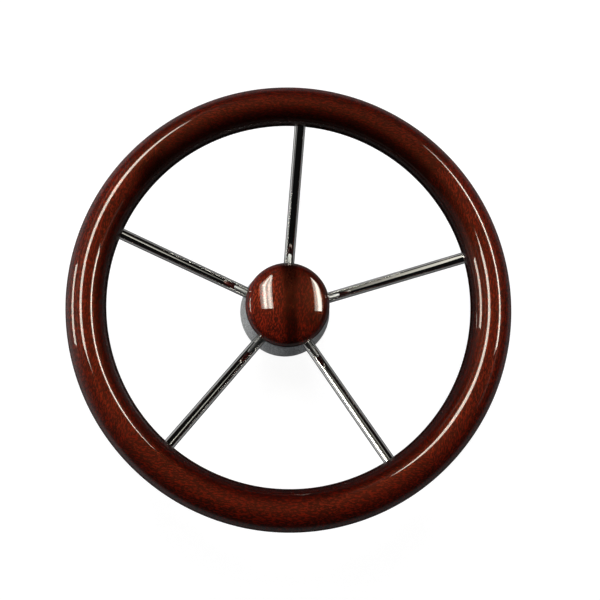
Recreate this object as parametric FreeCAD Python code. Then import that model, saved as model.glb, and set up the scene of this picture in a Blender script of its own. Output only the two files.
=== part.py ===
import FreeCAD, Part
import math
import os

os.makedirs("parts", exist_ok=True)

# A deep-dished boat steering wheel, in millimetres.
# The shaft axis is Z and points to the helmsman. The origin is on that axis, at the hub's rear face.
# The first spoke points along +Y, and angles turn from +X towards +Y.

V = FreeCAD.Vector
ORIGIN = V(0, 0, 0)
Z_AXIS = V(0, 0, 1)

# Rim: a mahogany ring of round section, glued up from quarter segments
rim_outer_diameter = 400.0
grip_diameter = 36.0
rim_height = 106.0
segment_count = 4
first_joint_angle = 45.0

# Loose tongues hidden in the glued joints of the rim
tongue_length = 26.0
tongue_width = 18.0
tongue_thickness = 8.0
tongue_corner_radius = 2.0

# Spokes: straight rods that rise from the hub to the middle of the rim's section
spoke_count = 5
first_spoke_angle = 90.0
spoke_diameter = 10.5
spoke_exit_height = 31.3
spoke_depth_in_hub = 20.0
spoke_depth_in_rim = 14.0
spoke_end_chamfer = 0.6

# Hub: a light alloy casting, a conical skirt under a cylindrical barrel
hub_height = 60.0
skirt_radius = 45.2
skirt_lip_height = 4.0
skirt_height = 23.0
skirt_edge_chamfer = 1.0
barrel_radius = 37.5
barrel_edge_chamfer = 1.0

# Hub core: a turned steel stem with a cup on top, let into the casting from the front
core_stem_radius = 14.5
core_cup_wall = 4.0
core_cup_floor = 5.0
core_edge_chamfer = 0.8

# Tapered and keyed bore in the core, one in twelve on the diameter, for a 3/4 inch helm shaft
taper_large_diameter = 19.05
taper_ratio = 12.0
taper_mouth_chamfer = 0.8
keyway_width = 4.76
keyway_depth = 2.4
keyway_angle = 90.0

# Recess in the core's cup for the shaft's washer and nut
nut_recess_diameter = 40.0
nut_recess_depth = 22.0
nut_recess_chamfer = 1.0

# Set screws that lock the spokes, driven from the hub's rear face
set_screw_diameter = 6.0
set_screw_length = 10.0
set_screw_inset = 9.5
set_screw_hex = 3.0
set_screw_hex_depth = 3.5
set_screw_point_chamfer = 0.8
spoke_spot_depth = 1.0

# Cap: a turned mahogany dome with a round edge
cap_radius = 39.7
cap_edge_radius = 10.3
cap_edge_sweep_below = 55.6
cap_dome_radius = 100.0

# Plug under the cap that pushes into the nut recess
plug_depth = 8.0
plug_depth_in_cap = 4.0
plug_wall = 6.0
plug_web = 4.0
plug_edge_chamfer = 0.8

# Seal ring in the plug's groove
ring_section_diameter = 2.6
ring_height_from_plug_end = 4.0

# Countersunk wood screws that hold the plug to the cap
cap_screw_count = 3
cap_screw_circle_radius = 8.0
cap_screw_diameter = 3.5
cap_screw_head_diameter = 6.8
cap_screw_length = 13.0
cap_screw_point_length = 3.0
cap_screw_slot_width = 1.0
cap_screw_slot_depth = 1.1

# Clearances
glue_gap = 0.08
screw_gap = 0.05
running_gap = 0.08
ring_gap = 0.05
end_gap = 0.3

# Two edges or lengths that differ by less than this are the same
same_place = 0.01

# Sizes that follow from the ones above
grip_radius = grip_diameter / 2
rim_radius = rim_outer_diameter / 2 - grip_radius
spoke_radius = spoke_diameter / 2
spoke_run = rim_radius - barrel_radius
spoke_rise = rim_height - spoke_exit_height
spoke_slope = math.atan2(spoke_rise, spoke_run)
spoke_reach = math.hypot(spoke_run, spoke_rise)
spoke_start = -spoke_depth_in_hub
spoke_end = spoke_reach - grip_radius + spoke_depth_in_rim
set_screw_circle_radius = barrel_radius - set_screw_inset
nut_recess_radius = nut_recess_diameter / 2
taper_length = hub_height - nut_recess_depth
taper_large_radius = taper_large_diameter / 2
core_cup_radius = nut_recess_radius + core_cup_wall
core_shoulder_height = taper_length - core_cup_floor
plug_radius = nut_recess_radius - running_gap
plug_bottom = hub_height - plug_depth
plug_top = hub_height + plug_depth_in_cap
plug_web_bottom = plug_top - plug_web
ring_height = plug_bottom + ring_height_from_plug_end
ring_section_radius = ring_section_diameter / 2
ring_radius = nut_recess_radius - ring_gap - ring_section_radius
cap_screw_radius = cap_screw_diameter / 2
cap_screw_head_radius = cap_screw_head_diameter / 2


def polar(radius, angle, height=0.0):
    """Point at a radius, an angle in degrees about the shaft axis, and a height."""
    turn = math.radians(angle)
    return V(radius * math.cos(turn), radius * math.sin(turn), height)


def profile_face(edges):
    """Flat face in the XZ plane from its edges in order."""
    return Part.Face(Part.Wire(edges))


def line(start, end):
    """Straight edge between two (radius, height) points of a turned profile."""
    return Part.LineSegment(V(start[0], 0, start[1]), V(end[0], 0, end[1])).toShape()


def arc(start, middle, end):
    """Arc through three (radius, height) points of a turned profile."""
    points = [V(p[0], 0, p[1]) for p in (start, middle, end)]
    return Part.Arc(*points).toShape()


def turned(points):
    """Solid turned about the shaft axis from the corners of its half section."""
    closed = points + [points[0]]
    edges = [line(a, b) for a, b in zip(closed, closed[1:])]
    return profile_face(edges).revolve(ORIGIN, Z_AXIS, 360)


def ring_edges(shape, radius, height):
    """Circular edges of a turned solid at one radius and height."""
    found = []
    for edge in shape.Edges:
        if edge.Curve.TypeId != "Part::GeomCircle":
            continue
        at_height = abs(edge.Curve.Center.z - height) < same_place
        if at_height and abs(edge.Curve.Radius - radius) < same_place:
            found.append(edge)
    return found


def around(shape, angle):
    """Copy of a shape turned about the shaft axis."""
    copy = shape.copy()
    copy.rotate(ORIGIN, Z_AXIS, angle)
    return copy


def chamfered_rod(radius, length, chamfer):
    """Round bar along +Z from the origin, with both ends chamfered."""
    return turned([
        (0, 0),
        (radius - chamfer, 0),
        (radius, chamfer),
        (radius, length - chamfer),
        (radius - chamfer, length),
        (0, length),
    ])


def lay_on_spoke_axis(shape, offset):
    """Moves a shape made along +Z onto the axis of a spoke that points along +X."""
    placed = shape.copy()
    placed.translate(V(0, 0, offset))
    placed.rotate(ORIGIN, V(0, 1, 0), 90 - math.degrees(spoke_slope))
    placed.translate(V(barrel_radius, 0, spoke_exit_height))
    return placed


def spoke_angles():
    """Angle of each spoke about the shaft axis."""
    return [first_spoke_angle + 360 * i / spoke_count for i in range(spoke_count)]


def spoke_socket():
    """Bore for one spoke along +X, deeper than the rod by the end gap at both ends."""
    length = spoke_end - spoke_start + 2 * end_gap
    bore = Part.makeCylinder(spoke_radius + glue_gap, length)
    return lay_on_spoke_axis(bore, spoke_start - end_gap)


def set_screw_seat_height():
    """Height of the flat that the set screw presses on, in a spoke's underside."""
    axis_height = spoke_exit_height - set_screw_inset * math.tan(spoke_slope)
    underside = axis_height - spoke_radius / math.cos(spoke_slope)
    return underside + spoke_spot_depth


def spoke():
    """One rod along +X, spotted on its underside for the set screw."""
    rod = chamfered_rod(spoke_radius, spoke_end - spoke_start, spoke_end_chamfer)
    rod = lay_on_spoke_axis(rod, spoke_start)
    spot_radius = set_screw_diameter / 2 + screw_gap
    spot = Part.makeCylinder(
        spot_radius, set_screw_seat_height(), V(set_screw_circle_radius, 0, 0))
    return rod.cut(spot)


def hex_socket(across_flats, depth):
    """Hexagonal prism along +Z from the origin."""
    corner_radius = across_flats / math.sqrt(3)
    corners = [polar(corner_radius, 60 * i) for i in range(6)]
    wire = Part.makePolygon(corners + [corners[0]])
    return Part.Face(wire).extrude(V(0, 0, depth))


def set_screw():
    """Headless screw along +Z under the +X spoke, with a hexagon socket at its lower end."""
    body = chamfered_rod(set_screw_diameter / 2, set_screw_length, set_screw_point_chamfer)
    body = body.cut(hex_socket(set_screw_hex, set_screw_hex_depth))
    body.translate(V(set_screw_circle_radius, 0, set_screw_seat_height() - set_screw_length))
    return body


def tongue(gap_around, gap_at_ends):
    """Loose tongue across the joint at angle zero, or its mortise when gaps are given."""
    length = tongue_length + 2 * gap_at_ends
    width = tongue_width + 2 * gap_around
    thickness = tongue_thickness + 2 * gap_around
    corner = V(rim_radius - width / 2, -length / 2, rim_height - thickness / 2)
    block = Part.makeBox(width, length, thickness, corner)
    long_edges = [e for e in block.Edges if abs(e.BoundBox.YLength - length) < same_place]
    return block.makeFillet(tongue_corner_radius + gap_around, long_edges)


def joint_angles():
    """Angle of each glued joint of the rim."""
    return [first_joint_angle + 360 * i / segment_count for i in range(segment_count)]


def rim_segment(start_angle):
    """One arc of the rim with its spoke sockets and a mortise in each end."""
    circle = Part.Wire(Part.makeCircle(grip_radius, V(rim_radius, 0, rim_height), V(0, 1, 0)))
    sweep = 360 / segment_count
    segment = Part.Face(circle).revolve(ORIGIN, Z_AXIS, sweep)
    segment = around(segment, start_angle)
    mortise = tongue(glue_gap, end_gap)
    socket = spoke_socket()
    cutters = [around(mortise, angle) for angle in (start_angle, start_angle + sweep)]
    cutters += [around(socket, angle) for angle in spoke_angles()]
    return segment.cut([c for c in cutters if segment.distToShape(c)[0] < end_gap])


def taper_radius(height):
    """Radius of the tapered bore at a height above the rear face."""
    return taper_large_radius - height / taper_ratio / 2


def hub_core():
    """Steel stem and cup with the shaft taper, its keyway and the nut recess."""
    core = turned([
        (taper_radius(taper_mouth_chamfer), taper_mouth_chamfer),
        (taper_large_radius + taper_mouth_chamfer, 0),
        (core_stem_radius, 0),
        (core_stem_radius, core_shoulder_height),
        (core_cup_radius, core_shoulder_height),
        (core_cup_radius, hub_height),
        (nut_recess_radius, hub_height),
        (nut_recess_radius, taper_length),
        (taper_radius(taper_length), taper_length),
    ])
    core = core.makeChamfer(core_edge_chamfer, ring_edges(core, core_stem_radius, 0))
    core = core.makeChamfer(nut_recess_chamfer, ring_edges(core, nut_recess_radius, hub_height))
    keyway = Part.makeBox(
        taper_large_radius + keyway_depth, keyway_width, taper_length,
        V(0, -keyway_width / 2, 0))
    return core.cut(around(keyway, keyway_angle))


def hub_body():
    """Skirt and barrel bored for the core, with the spoke sockets and the screw holes."""
    stem_bore = core_stem_radius + glue_gap
    cup_bore = core_cup_radius + glue_gap
    body = turned([
        (stem_bore, 0),
        (skirt_radius, 0),
        (skirt_radius, skirt_lip_height),
        (barrel_radius, skirt_height),
        (barrel_radius, hub_height),
        (cup_bore, hub_height),
        (cup_bore, core_shoulder_height),
        (stem_bore, core_shoulder_height),
    ])
    body = body.makeChamfer(skirt_edge_chamfer, ring_edges(body, skirt_radius, 0))
    body = body.makeChamfer(barrel_edge_chamfer, ring_edges(body, barrel_radius, hub_height))
    screw_hole = Part.makeCylinder(
        set_screw_diameter / 2 + screw_gap, set_screw_seat_height(),
        V(set_screw_circle_radius, 0, 0))
    cutters = []
    for angle in spoke_angles():
        cutters.append(around(spoke_socket(), angle))
        cutters.append(around(screw_hole, angle))
    return body.cut(cutters)


def cap_profile():
    """Half section of the solid dome: crown arc, round edge, flat base."""
    widest_height = hub_height + cap_edge_radius * math.sin(math.radians(cap_edge_sweep_below))
    edge_centre = (cap_radius - cap_edge_radius, widest_height)
    centre_gap = cap_dome_radius - cap_edge_radius
    dome_centre = widest_height - math.sqrt(centre_gap ** 2 - edge_centre[0] ** 2)
    meet_angle = math.atan2(widest_height - dome_centre, edge_centre[0])

    def on_edge(angle):
        return (edge_centre[0] + cap_edge_radius * math.cos(angle),
                edge_centre[1] + cap_edge_radius * math.sin(angle))

    def on_dome(angle):
        return (cap_dome_radius * math.cos(angle),
                dome_centre + cap_dome_radius * math.sin(angle))

    crown = on_dome(math.pi / 2)
    meet = on_edge(meet_angle)
    foot = on_edge(-math.radians(cap_edge_sweep_below))
    middle = ((math.pi / 2) + meet_angle) / 2
    return profile_face([
        arc(crown, on_dome(middle), meet),
        arc(meet, on_edge(0), foot),
        line(foot, (0, foot[1])),
        line((0, foot[1]), crown),
    ])


def cap_screw_angles():
    """Angle of each screw under the cap."""
    return [90 + 360 * i / cap_screw_count for i in range(cap_screw_count)]


def cap_screw(gap=0.0):
    """Countersunk screw along +Z through the plug's web at angle zero, or its hole."""
    bottom = plug_web_bottom
    cone = cap_screw_head_radius - cap_screw_radius
    tip = bottom + cap_screw_length + gap
    shank = cap_screw_radius + gap
    profile = [
        (0, bottom),
        (cap_screw_head_radius + gap, bottom),
        (shank, bottom + cone),
        (shank, tip - cap_screw_point_length),
        (0, tip),
    ]
    screw = turned(profile)
    screw.translate(V(cap_screw_circle_radius, 0, 0))
    return screw


def slotted_cap_screw():
    """Cap screw with a driving slot across its head."""
    slot = Part.makeBox(
        cap_screw_head_diameter, cap_screw_slot_width, cap_screw_slot_depth,
        V(cap_screw_circle_radius - cap_screw_head_radius, -cap_screw_slot_width / 2,
          plug_web_bottom))
    return cap_screw().cut(slot)


def cap():
    """Mahogany dome with a seat for the plug and pilot holes for its screws."""
    dome = cap_profile().revolve(ORIGIN, Z_AXIS, 360)
    seat = Part.makeCylinder(plug_radius + glue_gap, plug_depth_in_cap, V(0, 0, hub_height))
    holes = [around(cap_screw(screw_gap), angle) for angle in cap_screw_angles()]
    return dome.cut([seat] + holes)


def cap_plug():
    """Turned plug, hollow below its web, with the groove of the seal ring."""
    inner = plug_radius - plug_wall
    body = turned([
        (0, plug_web_bottom),
        (inner, plug_web_bottom),
        (inner, plug_bottom),
        (plug_radius - plug_edge_chamfer, plug_bottom),
        (plug_radius, plug_bottom + plug_edge_chamfer),
        (plug_radius, plug_top),
        (0, plug_top),
    ])
    groove_half = ring_section_radius + ring_gap
    groove_floor = ring_radius - groove_half
    groove = turned([
        (groove_floor, ring_height - groove_half),
        (nut_recess_radius, ring_height - groove_half),
        (nut_recess_radius, ring_height + groove_half),
        (groove_floor, ring_height + groove_half),
    ])
    holes = [around(cap_screw(screw_gap), angle) for angle in cap_screw_angles()]
    return body.cut([groove] + holes)


def seal_ring():
    """Round rubber ring in the plug's groove."""
    return Part.makeTorus(ring_radius, ring_section_radius, V(0, 0, ring_height))


def save(shape, node):
    """Writes one node, and stops if its solid is broken."""
    solids = shape.Solids
    if len(solids) != 1 or not solids[0].isValid():
        raise ValueError(f"{node} has {len(solids)} solids or is not valid")
    solids[0].exportStep(f"parts/{node}.step")
    box = solids[0].BoundBox
    print(f"{node}: {solids[0].Volume / 1000:.2f} cm3, z {box.ZMin:.2f} to {box.ZMax:.2f}")


for number, angle in enumerate(joint_angles(), 1):
    save(rim_segment(angle), f"rim_segment_{number}")
    save(around(tongue(0, 0), angle), f"rim_tongue_{number}")

for number, angle in enumerate(spoke_angles(), 1):
    save(around(spoke(), angle), f"spoke_{number}")
    save(around(set_screw(), angle), f"spoke_set_screw_{number}")

save(hub_body(), "hub_body")
save(hub_core(), "hub_core")
save(cap(), "cap")
save(cap_plug(), "cap_plug")
save(seal_ring(), "cap_seal_ring")

for number, angle in enumerate(cap_screw_angles(), 1):
    save(around(slotted_cap_screw(), angle), f"cap_screw_{number}")

print(f"spoke slope {math.degrees(spoke_slope):.2f} degrees, rod length {spoke_end - spoke_start:.1f}")
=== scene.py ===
# %% [markdown]
# A boat steering wheel in varnished mahogany and polished steel. The imported model is a fixed
# frame that says where every piece of the real wheel is. We could model the wheel beside it, but
# then each piece would have to be fitted back. So we stay in the frame's own place and metres,
# and give each piece a surface worth looking at. Nothing we add may make the wheel bigger.

# %% Load the frame
import math

import bmesh
import bpy
from mathutils import Matrix, Vector


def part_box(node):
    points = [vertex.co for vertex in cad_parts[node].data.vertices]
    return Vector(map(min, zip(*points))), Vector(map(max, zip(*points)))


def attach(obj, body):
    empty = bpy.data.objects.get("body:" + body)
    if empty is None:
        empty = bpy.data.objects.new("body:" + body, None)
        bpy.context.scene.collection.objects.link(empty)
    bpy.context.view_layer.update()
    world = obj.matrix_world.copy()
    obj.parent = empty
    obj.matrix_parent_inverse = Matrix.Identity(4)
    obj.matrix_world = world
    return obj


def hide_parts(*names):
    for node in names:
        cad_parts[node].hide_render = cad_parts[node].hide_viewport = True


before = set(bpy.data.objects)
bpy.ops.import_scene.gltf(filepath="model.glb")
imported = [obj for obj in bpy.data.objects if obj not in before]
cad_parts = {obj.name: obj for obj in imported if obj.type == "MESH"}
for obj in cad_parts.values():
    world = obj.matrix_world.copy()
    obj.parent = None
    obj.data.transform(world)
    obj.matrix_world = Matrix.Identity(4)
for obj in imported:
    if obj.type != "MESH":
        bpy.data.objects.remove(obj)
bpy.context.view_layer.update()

print("nodes in the frame:", len(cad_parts))

# %% [markdown]
# Every mesh below starts from a size. The sizes could be typed in once more, but two lists of
# the same thing drift apart. So they are read from the frame wherever a box can tell them. The
# rim's box gives its radius and the grip's thickness, the hub's box the skirt, and the cap's box
# the width of the dome.

# %% Measure the wheel
MM = 0.001


def box_of(name):
    """Lowest and highest corner of a node, as vectors."""
    low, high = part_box(name)
    return Vector(low), Vector(high)


segment_low, segment_high = box_of("rim_segment_1")
plug_low, plug_high = box_of("cap_plug")
ring_low, ring_high = box_of("cap_seal_ring")
set_screw_low, set_screw_high = box_of("spoke_set_screw_1")
cap_screw_low, cap_screw_high = box_of("cap_screw_1")
cap_high = box_of("cap")[1]
hub_high = box_of("hub_body")[1]

grip_radius = (segment_high.z - segment_low.z) / 2
rim_radius = segment_high.y - grip_radius
rim_height = (segment_high.z + segment_low.z) / 2
spoke_radius = box_of("spoke_1")[1].x
skirt_radius, hub_top = hub_high.x, hub_high.z
cap_radius, cap_crown = cap_high.x, cap_high.z
plug_radius = plug_high.x
ring_section = (ring_high.z - ring_low.z) / 2
ring_radius = ring_high.x - ring_section
ring_height = (ring_high.z + ring_low.z) / 2
print("rim radius", round(rim_radius, 4), "grip radius", round(grip_radius, 4))
print("rod radius", round(spoke_radius, 5), "cap radius", round(cap_radius, 4))

# %% [markdown]
# A box says nothing about what is inside it: where the barrel starts, how deep a rod is let in,
# how the shaft's taper runs. Those are the joiner's and the turner's own sizes. They could be
# searched for among the solids' faces, but a named list is easier to read, so they are written
# down once.

# %% Sizes that the boxes can't tell
segment_count = 4
first_joint_angle = 45.0
spoke_count = 5
first_spoke_angle = 90.0

barrel_radius = 37.5 * MM
skirt_lip_height = 4.0 * MM
skirt_height = 23.0 * MM
taper_mouth_radius = 9.525 * MM
taper_end_radius = 7.942 * MM
taper_mouth_chamfer = 0.8 * MM
keyway_width = 4.76 * MM
keyway_depth = 2.4 * MM
nut_recess_radius = 20.0 * MM
nut_recess_floor = 38.0 * MM
core_stem_radius = 14.5 * MM
core_cup_radius = 24.0 * MM
core_shoulder = 33.0 * MM
core_fit = 0.08 * MM

spoke_exit_height = 31.3 * MM
spoke_depth_in_hub = 20.0 * MM
spoke_depth_in_rim = 14.0 * MM
spoke_slope = math.atan2(rim_height - spoke_exit_height, rim_radius - barrel_radius)
spoke_reach = math.hypot(rim_height - spoke_exit_height, rim_radius - barrel_radius)
spoke_length = spoke_reach - grip_radius + spoke_depth_in_rim + spoke_depth_in_hub
print("the rods rise at", round(math.degrees(spoke_slope), 2), "degrees")

# %% [markdown]
# Most pieces of a wheel are turned or bent from round stock. A Screw modifier could turn them
# and a bevelled curve could bend them, each with settings of its own. One helper makes them all
# here: a skin over rings of points. A lathe job is rings round the shaft axis, and the grip is
# rings along an arc. Rings keep the faces even, and even faces reflect a window as a clean line.
# Edges sharper than 30 degrees are marked sharp.

# %% A skin over rings of points
sharp_angle = math.radians(30)
same_place = 1e-6


def add_object(name, data):
    """Object for a mesh, a camera or a lamp, linked to the scene."""
    made = bpy.data.objects.new(name, data)
    bpy.context.scene.collection.objects.link(made)
    return made


def finish_mesh(piece, work):
    """Puts a bmesh into the piece, with its faces outwards and its sharp edges marked."""
    bmesh.ops.remove_doubles(work, verts=work.verts, dist=same_place)
    bmesh.ops.recalc_face_normals(work, faces=work.faces)
    work.to_mesh(piece.data)
    work.free()
    piece.data.shade_smooth()
    piece.data.set_sharp_from_angle(angle=sharp_angle)


def skin(name, rings, close_loop=False, fill_ends=False):
    """Piece over closed rings with the same number of points. Neighbouring rings are joined."""
    piece = add_object(name, bpy.data.meshes.new(name))
    work = bmesh.new()
    rows = [[work.verts.new(point) for point in ring] for ring in rings]
    if close_loop:
        rows.append(rows[0])
    for here, there in zip(rows, rows[1:]):
        for j in range(len(here)):
            work.faces.new((here[j - 1], here[j], there[j], there[j - 1]))
    if fill_ends:
        work.faces.new(rows[0])
        work.faces.new(reversed(rows[-1]))
    finish_mesh(piece, work)
    return piece


def polar(radius, angle, height=0.0):
    """Point at a radius, an angle in degrees about the shaft axis, and a height."""
    turn = math.radians(angle)
    return Vector((radius * math.cos(turn), radius * math.sin(turn), height))


print("the skin helper is ready")

# %% [markdown]
# A turned piece starts as a half section, which is a list of corners. Real edges are never
# perfectly sharp, and a small round edge catches a thread of light. A Bevel modifier could round
# them, with a weight on each edge. It is simpler to give each corner its own radius here, and to
# put a few points of an arc in its place before the section is turned.

# %% Round corners and arcs of a half section


def bend(centre, start, end, steps):
    """Points of the shorter arc about a centre, from one (radius, height) point to another."""
    from_angle = math.atan2(start[1] - centre[1], start[0] - centre[0])
    to_angle = math.atan2(end[1] - centre[1], end[0] - centre[0])
    turn = math.remainder(to_angle - from_angle, 2 * math.pi)
    reach = math.dist(start, centre)
    points = []
    for s in range(steps + 1):
        angle = from_angle + turn * s / steps
        points.append((centre[0] + reach * math.cos(angle), centre[1] + reach * math.sin(angle)))
    return points


def rounded(corners, steps=5):
    """Closed profile from corners given as (radius, height, rounding)."""
    profile = []
    for i, (radius, height, rounding) in enumerate(corners):
        here = Vector((radius, height))
        if rounding == 0:
            profile.append((radius, height))
            continue
        back = (Vector(corners[i - 1][:2]) - here).normalized()
        ahead = (Vector(corners[(i + 1) % len(corners)][:2]) - here).normalized()
        half = back.angle(ahead) / 2
        centre = here + (back + ahead).normalized() * rounding / math.sin(half)
        reach = rounding / math.tan(half)
        profile += bend(centre, here + back * reach, here + ahead * reach, steps)
    return profile


def circle(radius, height, reach, sides):
    """Points of a full circle about a (radius, height) middle."""
    turns = [2 * math.pi * j / sides for j in range(sides)]
    return [(radius + reach * math.cos(turn), height + reach * math.sin(turn)) for turn in turns]


def lathe(name, profile, sides=128, closed=True):
    """Piece turned about the Z axis from (radius, height) points."""
    step = 360 / sides
    rings = [[polar(radius, step * j, height) for j in range(sides)] for radius, height in profile]
    return skin(name, rings, close_loop=closed)


print("the lathe is ready")

# %% [markdown]
# Holes, slots and keyways could be woven into a mesh face by face. They are cut the way a
# workshop cuts them instead: a tool of the hole's shape is set in place, and a Boolean modifier
# takes it away from the piece. Its exact solver copes with faces that touch. The cut is made
# permanent, and the tools are thrown away. Flat faces beside round edges stay flat through
# normals weighted by face size.

# %% Cutting tools


def bar(name, radius, low, high, sides=48):
    """Round bar along Z."""
    return lathe(name, [(0, low), (radius, low), (radius, high), (0, high)], sides, closed=False)


def block(name, low, high):
    """Straight block between two corners."""
    corners = ((low[0], low[1]), (high[0], low[1]), (high[0], high[1]), (low[0], high[1]))
    rings = [[Vector((x, y, z)) for x, y in corners] for z in (low[2], high[2])]
    return skin(name, rings, fill_ends=True)


def around(angle, radius, height=0.0):
    """Matrix that carries a piece out to a radius and turns it about the shaft axis."""
    turn = Matrix.Rotation(math.radians(angle), 4, "Z")
    return turn @ Matrix.Translation((radius, 0, height))


def place(piece, matrix):
    """Moves the mesh itself, so that the object stays at the origin."""
    piece.data.transform(matrix)
    return piece


def cut_away(piece, tools):
    """Cuts the tools out of the piece and throws them away."""
    for tool in tools:
        cutter = piece.modifiers.new("cutter", "BOOLEAN")
        cutter.operation = "DIFFERENCE"
        cutter.solver = "EXACT"
        cutter.object = tool
    graph = bpy.context.evaluated_depsgraph_get()
    cut_mesh = bpy.data.meshes.new_from_object(piece.evaluated_get(graph))
    piece.modifiers.clear()
    work = bmesh.new()
    work.from_mesh(cut_mesh)
    finish_mesh(piece, work)
    bpy.data.meshes.remove(cut_mesh)
    for tool in tools:
        bpy.data.objects.remove(tool)


def keep_flats_flat(piece):
    """Weights the normals by face area, so flats stay flat beside round edges."""
    weighted = piece.modifiers.new("flat_faces", "WEIGHTED_NORMAL")
    weighted.weight = 100
    weighted.keep_sharp = True


print("the cutting tools are ready")

# %% [markdown]
# A shader is a chain of small nodes. Written out in a script, each node takes several lines, and
# the idea drowns in them. So short helpers keep it easy to read: one adds a node and wires it,
# and others do a sum, stretch a value, mix two colours or make noise. Colours are written as on
# a paint chart, from 0 to 255, and turned into the renderer's linear values.

# %% Shader helpers
gives_a_number = ("LENGTH", "DISTANCE", "DOT_PRODUCT")


def node(tree, kind, inputs=None, **properties):
    """Adds a shader node. A socket among the inputs is linked, and any other value is set."""
    made = tree.nodes.new("ShaderNode" + kind)
    for name, value in properties.items():
        setattr(made, name, value)
    for name, value in (inputs or {}).items():
        if isinstance(value, bpy.types.NodeSocket):
            tree.links.new(value, made.inputs[name])
        else:
            made.inputs[name].default_value = value
    return made


def calc(tree, operation, first, second=0.0):
    """Result of a sum on one or two values."""
    return node(tree, "Math", {0: first, 1: second}, operation=operation).outputs[0]


def vector_calc(tree, operation, *terms):
    """Result of a sum on vectors: a vector, or a number for a length or a product."""
    outputs = node(tree, "VectorMath", dict(enumerate(terms)), operation=operation).outputs
    return outputs["Value" if operation in gives_a_number else "Vector"]


def spread(tree, value, low, high, to_low=0.0, to_high=1.0):
    """Value stretched from one range to another, and held inside it."""
    inputs = {1: low, 2: high, 3: to_low, 4: to_high, 0: value}
    return node(tree, "MapRange", inputs).outputs[0]


def tint(tree, mask, under, over):
    """Colour over another one, where the mask says so."""
    inputs = {0: mask, 6: under, 7: over}
    return node(tree, "Mix", inputs, data_type="RGBA", blend_type="MIX").outputs[2]


def noise(tree, where, scale, detail=2.0, roughness=0.5):
    """Soft noise about a place, as a value (Fac) and as a colour (Color)."""
    inputs = {"Vector": where, "Scale": scale, "Detail": detail, "Roughness": roughness}
    return node(tree, "TexNoise", inputs).outputs


def own_place(tree):
    """Where a point of the surface is in its own object, in metres."""
    return node(tree, "TexCoord").outputs["Object"]


def paint(red, green, blue):
    """Linear colour from values of 0 to 255 as a paint chart gives them."""
    linear = []
    for part in (red, green, blue):
        share = part / 255
        linear.append(share / 12.92 if share <= 0.04045 else ((share + 0.055) / 1.055) ** 2.4)
    return (*linear, 1.0)


print("the shader helpers are ready")

# %% [markdown]
# One effect, such as the marks of a lathe, shows on several materials. Its nodes could be copied
# into each of them, but then every change has to be made in each. So a shared effect is a node
# group, which takes a few named inputs and hands out masks, and each material mixes its own
# colours from them. A value that is the same all over the surface goes straight on the shader's
# socket.

# %% Groups and materials


def new_group(name, inputs, wire):
    """Node group. An input without a value takes a vector, and wire() returns the masks."""
    tree = bpy.data.node_groups.new(name, "ShaderNodeTree")
    for label, value in inputs.items():
        kind = "NodeSocketVector" if value is None else "NodeSocketFloat"
        socket = tree.interface.new_socket(label, in_out="INPUT", socket_type=kind)
        if value is not None:
            socket.default_value = value
    masks = wire(tree, tree.nodes.new("NodeGroupInput").outputs)
    for label in masks:
        tree.interface.new_socket(label, in_out="OUTPUT", socket_type="NodeSocketFloat")
    result = tree.nodes.new("NodeGroupOutput").inputs
    for label, mask in masks.items():
        tree.links.new(mask, result[label])
    print(name, "has", len(tree.nodes), "nodes")
    return tree


def use(tree, group, inputs):
    """Places a node group in a material, with its own values."""
    return node(tree, "Group", inputs, node_tree=group).outputs


def new_material(name, values):
    """Material with plain values on its shader. Returns it, its tree and the shader."""
    material = bpy.data.materials.new(name)
    material.use_nodes = True
    shader = material.node_tree.nodes["Principled BSDF"]
    for label, value in values.items():
        shader.inputs[label].default_value = value
    return material, material.node_tree, shader


def wire_finish(tree, shader, colour, roughness, height, relief):
    """Links colour, roughness and a bump, whose relief is its strength and its depth."""
    tree.links.new(colour, shader.inputs["Base Color"])
    tree.links.new(roughness, shader.inputs["Roughness"])
    strength, depth = relief
    bump = node(tree, "Bump", {"Height": height, "Strength": strength, "Distance": depth})
    tree.links.new(bump.outputs[0], shader.inputs["Normal"])


print("groups and materials can be made")

# %% [markdown]
# Timber is a bundle of long tubes that grew in yearly rings round a pith. A flat picture of wood
# wrapped round a grip would show its seams. A figure worked out from a point's place in the
# board runs right through the piece, as in real wood. So it is made in the board's own
# directions: X runs along the grain, and the distance from the pith gives the rings. A slow sway
# bends it all a little. Over the rings lie broad ribbons, where the grain leans one way and then
# the other, short bright flecks, and the fine dark pores that make mahogany look like mahogany.

# %% Node group: timber figure
drift_patch = (0.25, 0.07)
wobble_patch = (0.06, 0.012)
ribbon_patch = (0.12, 7 * MM)
cloud_patch = (0.05, 0.03)
sway_reach = 7 * MM
wobble_share = 0.9
late_wood_power = 2.2
pore_to_fleck_length, pore_to_fleck_width = 0.8, 0.32
figure_ranges = {
    "Rings": (0.0, 1.0),
    "Ribbon": (0.36, 0.64),
    "Flecks": (0.5, 0.6),
    "Pores": (0.56, 0.68),
    "Cloud": (0.35, 0.65),
}


def stretched_noise(tree, board, length, width, detail, roughness=0.5):
    """Noise whose patches are long along the grain and narrow across it."""
    size = node(tree, "CombineXYZ", {0: length, 1: width, 2: width}).outputs[0]
    return noise(tree, vector_calc(tree, "DIVIDE", board, size), 1.0, detail, roughness)


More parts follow.
